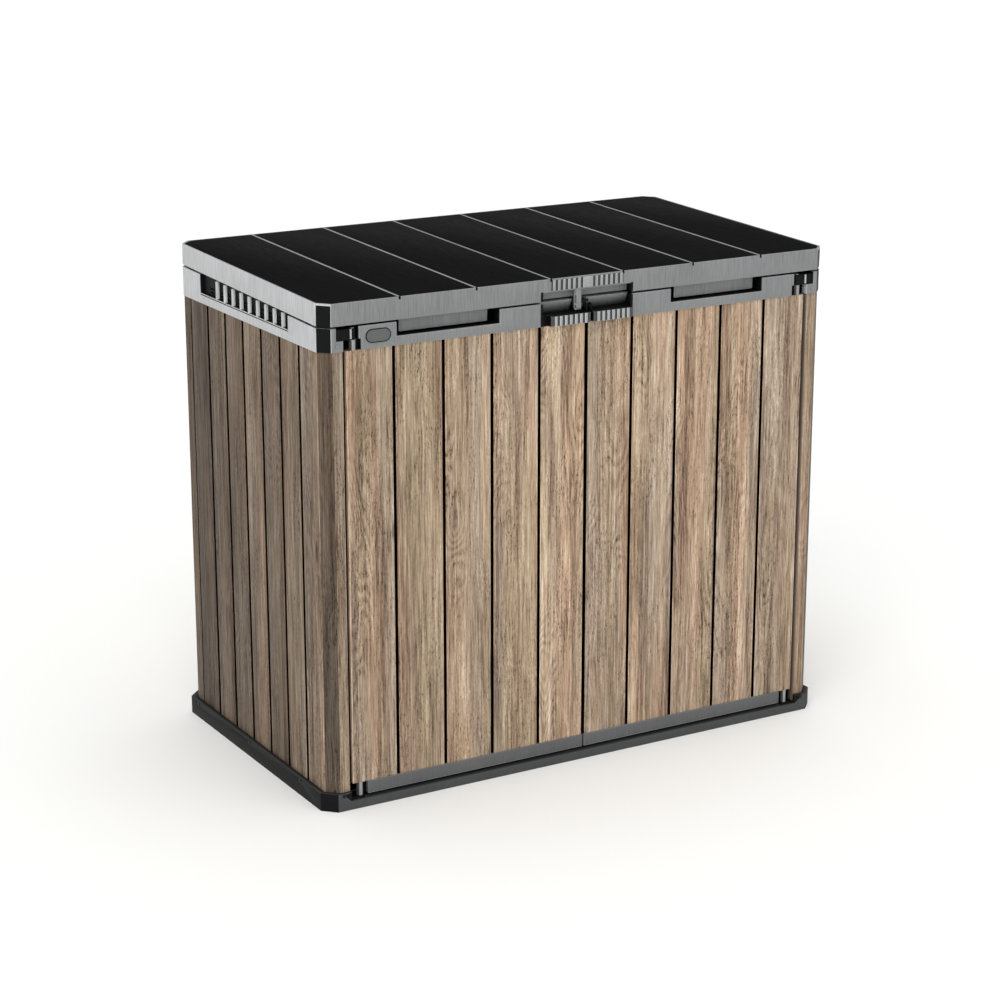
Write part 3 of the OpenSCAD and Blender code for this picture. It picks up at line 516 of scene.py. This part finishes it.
plankWall = {
    "frontPlank": 132.4,
    "sidePlank": 104.0,
    "sideJoint": 20.0,  # place of the side's middle joint, from the middle of the box
    "rearShare": 0.5,  # how deep and wide the side's rearmost joint is, beside the others
    "thickness": 22.0,
    "bevel": 27.0,
    "doorBevel": 13.0,
    "grooveWidth": 8.0,
    "sideGrooveWidth": 11.0,
    "grooveDepth": 5.0,
    "edgeRadius": 1.4,  # rounding of each plank's long edges
    "cornerRadius": 2.5,  # rounding of the walls' upright corners
    "edgeLight": 1.22,  # painted highlight: the rounded edges are made paler
    "endLight": 0.7,
    "shadeAngle": 35,
}
faceKind, edgeKind, grooveKind, innerKind = range(4)


def groovedOutline(corners, grooves, runs, width):
    # Plan outline of a wall, counterclockwise from above. Each run between two corners is straight,
    # each corner is a quadratic arc, and a groove is two quarter circles of edgeRadius at the plank
    # edges, two walls and a floor, repeated at its places along the run. runs names the runs that
    # start a new plank, those of the inner face and those that end in a corner painted dark as shade.
    turn = np.linspace(0, math.pi / 2, 4)
    soft = plankWall["edgeRadius"]
    points, kinds, planks = [], [], []
    plank = 0
    count = len(corners)
    for k in range(count):
        start, end = corners[k], corners[(k + 1) % count]
        after = corners[(k + 2) % count]
        run = end - start
        length = np.linalg.norm(run)
        way = run / length
        inward = np.array([-way[1], way[0]])
        cut = min(plankWall["cornerRadius"], length * 0.3)  # at most 0.3 of a short run
        places, share = grooves.get(k, ([], 1.0))
        if k in runs.get("newPlank", ()):
            plank += 1
        inner = innerKind if k in runs.get("inner", ()) else faceKind
        points.append(start + way * cut)
        kinds.append(inner)
        planks.append(plank)
        for at, size in zip(places, np.broadcast_to(share, len(places))):
            w, d = width * size / 2, plankWall["grooveDepth"] * size
            r = min(soft, d * 0.6)
            lead = np.stack([-w - r + r * np.sin(turn), r - r * np.cos(turn)], 1)
            back = lead[::-1] * [-1, 1]
            shape = np.concatenate([lead, [[-w, d]], [[w, d]], back])
            line = start + way * (at + shape[:, :1]) + inward * shape[:, 1:]
            points.extend(line)
            kinds.extend([edgeKind] * 2 + [grooveKind] * 5 + [edgeKind] * 2 + [inner])
            planks.extend([plank] * 5 + [plank + 1] * 5)
            plank += 1
        points.append(end - way * cut)
        nextRun = after - end
        nextWay = nextRun / np.linalg.norm(nextRun)
        nextCut = min(plankWall["cornerRadius"], np.linalg.norm(nextRun) * 0.3)
        t = np.array([0.33, 0.67])[:, None]
        a, c = end - way * cut, end + nextWay * nextCut
        points.extend((1 - t) ** 2 * a + 2 * t * (1 - t) * end + t ** 2 * c)
        # a dark corner takes the groove's near black: painted shade in the corner
        dark = k in runs.get("dark", ())
        if dark and len(places) == 0:
            kinds[-1] = grooveKind
        kinds.extend([grooveKind if dark else inner or edgeKind] * 3)
        planks.extend([plank] * 3)
    return np.array(points), np.array(kinds), np.array(planks)


def buildWall(name, node, corners, grooves, runs, heights, tones, seed, width=plankWall["grooveWidth"]):
    # A wall: its grooved outline at two heights, joined by a face for each step of the outline and
    # closed by a face at each end. Each plank takes its own place in the grain and its own tone; the
    # tones given for the sides also carry painted shade, and the rounded edges get a painted highlight.
    points, kinds, planks = groovedOutline(corners, grooves, runs, width)
    z0, z1 = heights
    n = len(points)
    rows = np.array([z0, z1])
    # vertex grid: outline point i at row j
    verts = np.concatenate([np.repeat(points[None], 2, 0), np.repeat(rows[:, None, None], n, 1)], 2)
    verts = verts.reshape(-1, 3) * mm
    i = np.arange(n)
    quads = np.stack([i, (i + 1) % n, (i + 1) % n + n, i + n], 1)
    loops = np.concatenate([quads.ravel(), i + n, i[::-1]])
    starts = np.concatenate([np.arange(n) * 4, [4 * n, 5 * n]])
    mesh = bpy.data.meshes.new(name)
    mesh.vertices.add(len(verts))
    mesh.vertices.foreach_set("co", verts.ravel())
    mesh.loops.add(len(loops))
    mesh.loops.foreach_set("vertex_index", loops)
    mesh.polygons.add(len(starts))
    mesh.polygons.foreach_set("loop_start", starts)
    mesh.update(calc_edges=True)
    # grain map: distance round the outline across, height along, in metres
    step = np.linalg.norm(np.roll(points, -1, 0) - points, axis=1)
    along = np.concatenate([[0], np.cumsum(step)]) * mm
    rng = np.random.default_rng(seed)
    slide = rng.uniform(0, 5, planks.max() + 2)  # metres of grain that each plank is moved along
    u = np.stack([along[:-1], along[1:], along[1:], along[:-1]], 1) + slide[planks][:, None] * 0.37
    v = np.array([z0, z0, z1, z1])[None] * mm + slide[planks][:, None]
    side = np.stack([u, v], 2).reshape(-1, 2)
    ends = np.concatenate([points, points[::-1]]) * mm
    grainMap = np.concatenate([side, ends]).ravel().astype(np.float32)
    mesh.uv_layers.new(name="grain").data.foreach_set("uv", grainMap)
    plankTone = np.array(tones)[np.minimum(planks, len(tones) - 1)]
    # painted highlight on the rounded plank edges
    faceTone = plankTone * np.where(kinds == edgeKind, plankWall["edgeLight"], 1.0)
    faceTone = np.concatenate([faceTone, [plankWall["endLight"]] * 2])
    facePlank = np.concatenate([slide[planks], [0, 0]])
    mesh.attributes.new("tone", "FLOAT", "FACE").data.foreach_set("value", faceTone.astype(np.float32))
    mesh.attributes.new("plank", "FLOAT", "FACE").data.foreach_set("value", facePlank.astype(np.float32))
    for material in (woodResin, groove, innerResin):
        mesh.materials.append(material)
    # the materials of the four kinds, and of the two ends
    index = np.concatenate([np.array([0, 0, 1, 2])[kinds], [2, 2]])
    mesh.polygons.foreach_set("material_index", index.astype(np.int32))
    mesh.polygons.foreach_set("use_smooth", np.ones(len(starts), bool))
    mesh.set_sharp_from_angle(angle=math.radians(plankWall["shadeAngle"]))
    loose = openEdges(mesh)
    if loose:
        print("open edges in", name, loose)
    return addPiece(name, mesh, bodyOf[node], [node])


doorLow, doorHigh = place("left_door_panel")
sideLow, sideHigh = place("left_side_panel")
backLow, backHigh = place("left_back_panel")
doorPlank = plankWall["frontPlank"]
frontTone = [0.77, 0.78, 0.86, 0.86, 1.07, 0.85, 0.85, 0.92, 0.91, 0.86]


def mirrored(corners):
    # the same outline on the other side, kept counterclockwise
    return (corners * [-1, 1])[::-1]


# door: outer face along the front from the hinge edge to the middle, then the inner face back
doorFace, doorBack = doorLow[1], doorHigh[1]
doorOuter, doorInner = doorLow[0], doorHigh[0]
leftDoor = np.array([
    [doorOuter, doorFace], [doorInner, doorFace], [doorInner, doorBack],
    [doorOuter + plankWall["doorBevel"], doorBack],
    [doorOuter, (doorFace + doorBack) / 2],
])
places = [(-doorPlank * k) - doorOuter for k in (4, 3, 2, 1)]
buildWall("leftDoorPlanks", "left_door_panel", leftDoor, {0: (places, 1.0)},
          {"inner": (1, 2, 3), "dark": (0, 1)}, (doorLow[2], doorHigh[2]), frontTone[:5], 11)
rightDoor = np.array([
    [-doorInner, doorFace], [-doorOuter, doorFace], [-doorOuter, (doorFace + doorBack) / 2],
    [-doorOuter - plankWall["doorBevel"], doorBack], [-doorInner, doorBack],
])
places = [doorPlank * k + doorInner for k in (1, 2, 3, 4)]
buildWall("rightDoorPlanks", "right_door_panel", rightDoor, {0: (places, 1.0)},
          {"inner": (2, 3, 4), "dark": (4,)}, (doorLow[2], doorHigh[2]), frontTone[5:], 12)

# side wall: post, bevel, planked side, bevel and return, then the inner faces back
bevel, wallThick, postEdge = plankWall["bevel"], plankWall["thickness"], sideHigh[0]
front, rear, outer = sideLow[1], sideHigh[1], sideLow[0]
mitre = math.tan(math.radians(22.5)) * wallThick  # how far the inner bevel's ends are drawn back
sideWall = np.array([
    [postEdge, rear], [outer + bevel, rear], [outer, rear - bevel], [outer, front + bevel],
    [outer + bevel, front], [postEdge, front], [postEdge, front + wallThick],
    [outer + bevel + mitre, front + wallThick], [outer + wallThick, front + bevel + mitre],
    [outer + wallThick, rear - bevel - mitre], [outer + bevel + mitre, rear - wallThick],
    [postEdge, rear - wallThick],
])
steps = np.arange(3, -4, -1)
joints = plankWall["sideJoint"] + plankWall["sidePlank"] * steps
shares = np.where(steps == steps.max(), plankWall["rearShare"], 1.0)
# the sides' tones are each plank's own tone and painted shade: far darker than the front's
leftToneAndShade = [0.45, 0.36, 0.28, 0.24, 0.32, 0.35, 0.49, 0.35, 0.49, 0.53, 0.23, 0.60, 0.7]
rightToneAndShade = [0.7, 0.62, 0.36, 0.56, 0.60, 0.48, 0.62, 0.45, 0.50, 0.48, 0.5, 0.5, 0.5]
buildWall("leftSidePlanks", "left_side_panel", sideWall, {2: (rear - bevel - joints, shares)},
          {"newPlank": (1, 2, 3, 4), "inner": (5, 6, 7, 8, 9, 10, 11)}, (sideLow[2], sideHigh[2]),
          leftToneAndShade, 21, plankWall["sideGrooveWidth"])
# the mirrored outline starts at the return of the inner face, so its runs count the other way
buildWall("rightSidePlanks", "right_side_panel", mirrored(sideWall),
          {8: (joints[::-1] - (front + bevel), shares[::-1])},
          {"newPlank": (6, 7, 8, 9, 10), "inner": (0, 1, 2, 3, 4, 5, 11)}, (sideLow[2], sideHigh[2]),
          rightToneAndShade, 22, plankWall["sideGrooveWidth"])

# back wall, in two halves
backIn = backHigh[0]
leftBack = np.array([[backLow[0], backLow[1]], [backIn, backLow[1]], [backIn, backHigh[1]],
                     [backLow[0], backHigh[1]]])
places = [doorPlank * k + backIn for k in (1, 2, 3, 4)]
buildWall("leftBackPlanks", "left_back_panel", leftBack, {2: (places, 1.0)}, {"inner": (0, 1, 3)},
          (backLow[2], backHigh[2]), [0.62, 0.58, 0.66, 0.6, 0.64], 31)
rightBack = np.array([[-backIn, backLow[1]], [-backLow[0], backLow[1]], [-backLow[0], backHigh[1]],
                      [-backIn, backHigh[1]]])
places = [-backLow[0] - doorPlank * k for k in (4, 3, 2, 1)]
buildWall("rightBackPlanks", "right_back_panel", rightBack, {2: (places, 1.0)}, {"inner": (0, 1, 3)},
          (backLow[2], backHigh[2]), [0.61, 0.65, 0.58, 0.63, 0.6], 32)
print("planked walls made")


def stackRings(name, outline, shrink, z, tilt, toneValue, material, body):
    # A closed outline carried up z: each ring is drawn in by its own shrink and moved forward by
    # tilt times its height, and the two end rings are closed with a face each.
    n, rows = len(outline), len(z)
    middle = outline.mean(0)
    away = outline - middle
    length = np.linalg.norm(away, axis=1, keepdims=True)
    inner = outline[None] - (away / length)[None] * shrink[:, None, None]
    inner = inner + np.stack([np.zeros(rows), -tilt * (z - z[0])], 1)[:, None]
    rings = np.concatenate([inner, np.broadcast_to(z[:, None, None], (rows, n, 1))], 2)
    i, j = np.meshgrid(np.arange(n), np.arange(rows - 1))
    quads = np.stack([i + n * j, (i + 1) % n + n * j, (i + 1) % n + n * (j + 1), i + n * (j + 1)], 2)
    faces = quads.reshape(-1, 4).tolist() + [list(range(n))[::-1], [n * (rows - 1) + k for k in range(n)]]
    mesh = bpy.data.meshes.new(name)
    mesh.from_pydata((rings.reshape(-1, 3) * mm).tolist(), [], faces)
    mesh.polygons.foreach_set("use_smooth", np.ones(len(faces), bool))
    mesh.set_sharp_from_angle(angle=math.radians(45))
    tone = np.full(len(mesh.loops), toneValue, np.float32)
    mesh.attributes.new("tone", "FLOAT", "CORNER").data.foreach_set("value", tone)
    mesh.materials.append(material)
    return addPiece(name, mesh, body, [])


def makeStrip(name, body, slot, low, high, soft, toneValue=1.0, tilt=0.0):
    # an upright bar: a rectangle in plan with its four corners turned by quarter circles of radius soft,
    # and the same quarter circle at the top and bottom
    turn = np.linspace(0, math.pi / 2, 5)
    arc = np.stack([np.cos(turn), np.sin(turn)], 1) * soft
    (x0, y0, z0), (x1, y1, z1) = low, high
    spots = [(x1 - soft, y1 - soft), (x0 + soft, y1 - soft), (x0 + soft, y0 + soft), (x1 - soft, y0 + soft)]
    quarter = np.array([[0, 1], [-1, 0]])
    outline = np.concatenate([np.array(spot) + arc @ np.linalg.matrix_power(quarter, k)
                              for k, spot in enumerate(spots)])
    drop = soft * (1 - np.sin(turn))
    shrink = 0.6 * soft * (1 - np.cos(turn))[::-1]
    z = np.concatenate([z0 + drop[::-1], z1 - drop])
    return stackRings(name, outline, np.concatenate([shrink, shrink[::-1]]), z, tilt, toneValue,
                      finish[slot], body)


trim = {
    # millimetres, and tones beside the material's own colour
    "ribFront": -412.3, "ribBack": -408.0, "ribWidth": 4.5, "leftRib": -643.0, "rightRib": 655.5,
    "ribLow": 1162.0, "ribHigh": 1185.0, "ribSoft": 1.2, "ribTone": 1.9,
    "endInner": 125.0, "endOuter": 131.5, "endProud": 0.8, "endDeep": 8.0, "endSoft": 0.6,
    "lidEndLow": 1196.5,
    "lidTilt": math.tan(math.radians(1.41)),
    "bedProud": 0.5, "bedPast": 3.0, "bedThick": 1.5, "bedSoft": 0.3, "bedShadeTone": 0.22,
    "badgeRim": 2.2, "badgeProud": 0.9, "badgeSink": 0.3,
    "jointHalf": 14.0, "jointThick": 3.0, "jointSoft": 1.0,  # strip over the joint of the back walls
}
for side, x in (("left", trim["leftRib"]), ("right", trim["rightRib"])):
    makeStrip(side + "HingeRib", "carcass", "grey_resin", (x, trim["ribFront"], trim["ribLow"]),
              (x + trim["ribWidth"], trim["ribBack"], trim["ribHigh"]), trim["ribSoft"], trim["ribTone"])
coverLow, coverHigh = place("left_rail_cover")
gripLow, gripHigh = place("lid_grip")
shellFront = recess["front"]
for side, sign in (("left", -1), ("right", 1)):
    x0, x1 = sorted((sign * trim["endInner"], sign * trim["endOuter"]))
    front = coverLow[1] - trim["endProud"]
    makeStrip(side + "RecessEnd", side + "_door", "black_resin", (x0, front, coverLow[2] + 1),
              (x1, front + trim["endDeep"], coverHigh[2] - 1), trim["endSoft"])
    front = shellFront - trim["endProud"]
    makeStrip(side + "LidRecessEnd", "lid", "black_resin", (x0, front, trim["lidEndLow"]),
              (x1, front + trim["endDeep"], gripLow[2] - 1), trim["endSoft"], 1.0, trim["lidTilt"])
makeStrip("backJointStrip", "carcass", "black_resin",
          (-trim["jointHalf"], backLow[1] - trim["jointThick"], backLow[2] + 2),
          (trim["jointHalf"], backLow[1], backHigh[2] - 2), trim["jointSoft"])
# a grey plate toned dark behind the lid grip's ribs: painted shade between the ribs
climb = gripLow[2] - place("lid_shell")[0][2]
bedFront = shellFront - trim["lidTilt"] * climb - trim["bedProud"]
makeStrip("lidGripShadeBed", "lid", "grey_resin", (gripLow[0] - trim["bedPast"], bedFront, gripLow[2] + 0.5),
          (gripHigh[0] + trim["bedPast"], bedFront + trim["bedThick"], gripHigh[2] - 0.5), trim["bedSoft"],
          trim["bedShadeTone"], trim["lidTilt"])


def makeRim():
    # The badge's rim: a circle of half the rim's width carried along a closed path of two straight
    # runs and two half circles in the plane of the rail's face.
    low, high = place("badge")
    half = (high[2] - low[2]) / 2
    middle = (low + high) / 2
    radius = trim["badgeRim"] / 2
    reach = half - radius
    bends, sides = 20, 12  # points round each end, and round the rim's own section
    turn = np.linspace(-math.pi / 2, math.pi / 2, bends)
    right = np.stack([np.cos(turn), np.sin(turn)], 1)
    normal = np.concatenate([right, -right])
    shift = np.repeat([(high[0] - low[0]) / 2 - half, half - (high[0] - low[0]) / 2], bends)
    path = normal * reach + np.stack([shift, np.zeros(2 * bends)], 1) + middle[[0, 2]]
    around = np.linspace(0, 2 * math.pi, sides, endpoint=False)
    across, up = radius * np.cos(around), radius * np.sin(around) * trim["badgeProud"]
    flat = path[:, None] + normal[:, None] * across[None, :, None]
    deep = np.broadcast_to(low[1] + trim["badgeSink"] - up, (2 * bends, sides))
    points = np.stack([flat[..., 0], deep, flat[..., 1]], 2).reshape(-1, 3)
    i, j = np.meshgrid(np.arange(2 * bends), np.arange(sides), indexing="ij")
    nextRing, nextSide = (i + 1) % (2 * bends) * sides, (j + 1) % sides
    quads = np.stack([i * sides + j, nextRing + j, nextRing + nextSide, i * sides + nextSide], 2)
    quads = quads.reshape(-1, 4)
    mesh = bpy.data.meshes.new("badgeRim")
    mesh.from_pydata((points * mm).tolist(), [], quads.tolist())
    mesh.polygons.foreach_set("use_smooth", np.ones(len(quads), bool))
    mesh.materials.append(finish["black_resin"])
    return addPiece("badgeRim", mesh, "left_door", [])


makeRim()
print("trim made")

studio = {
    "floor": "#f4f4f2",
    "size": 60.0,  # metres
    "worldFront": 0.5,  # brightness of the room in front of the box
    "worldBack": 0.16,  # and behind it, which the lid mirrors
    "brightSide": (-0.2, -0.95, 0.25),
    "horizon": 1.0,  # brightness of the band round the horizon
    "bandFull": 0.10,  # up to this height it is full, and it is gone at the next
    "bandGone": 0.22,
}
floorMesh = bpy.data.meshes.new("floor")
half = studio["size"]
floorCorners = [(-half, -half, 0), (half, -half, 0), (half, half, 0), (-half, half, 0)]
floorMesh.from_pydata(floorCorners, [], [(0, 1, 2, 3)])
floor = bpy.data.objects.new("floor", floorMesh)
bpy.context.scene.collection.objects.link(floor)
# a pale painted studio floor: fully matte, so that it only carries the shadow
floorLook = {"Base Color": linearColour(studio["floor"]), "Specular IOR Level": 0.0, "Roughness": 1.0}
floorMesh.materials.append(startMaterial("palePaintedFloor", **floorLook)[0])

world = bpy.data.worlds.new("studio")
bpy.context.scene.world = world
world.use_nodes = True
worldTree = world.node_tree
worldTree.nodes.clear()
direction = addNode(worldTree, "TexCoord")
facing = addNode(worldTree, "VectorMath", {0: direction.outputs["Generated"], 1: studio["brightSide"]},
                 operation="DOT_PRODUCT")
glow = addNode(worldTree, "MapRange", {"Value": facing.outputs["Value"], "From Min": -0.7, "From Max": 0.9,
                                       "To Min": studio["worldBack"], "To Max": studio["worldFront"]})
# a low white band all round, so that the floor runs into a white background
height = addNode(worldTree, "SeparateXYZ", {"Vector": direction.outputs["Generated"]})
band = addNode(worldTree, "MapRange", {"Value": height.outputs["Z"], "From Min": studio["bandFull"],
                                       "From Max": studio["bandGone"], "To Min": studio["horizon"],
                                       "To Max": 0.0})
whole = addNode(worldTree, "Math", {0: glow, 1: band}, operation="MAXIMUM")
room = addNode(worldTree, "Background", {"Color": (1, 1, 1, 1), "Strength": whole})
addNode(worldTree, "OutputWorld", {"Surface": room.outputs[0]})

lamps = {
    # direction towards the lamp, strength, apparent size in degrees
    "keyLamp": ((-0.50, -0.60, 0.62), 1.3, 50),
    "fillLamp": ((0.40, -0.75, 0.52), 0.3, 60),
    "topLamp": ((0.05, 0.15, 1.0), 1.6, 70),
}
for name, (toward, strength, spread) in lamps.items():
    lamp = bpy.data.lights.new(name, "SUN")
    lamp.energy = strength
    lamp.angle = math.radians(spread)
    holder = bpy.data.objects.new(name, lamp)
    holder.rotation_euler = Vector(toward).to_track_quat("Z", "Y").to_euler()
    bpy.context.scene.collection.objects.link(holder)
print("studio made")
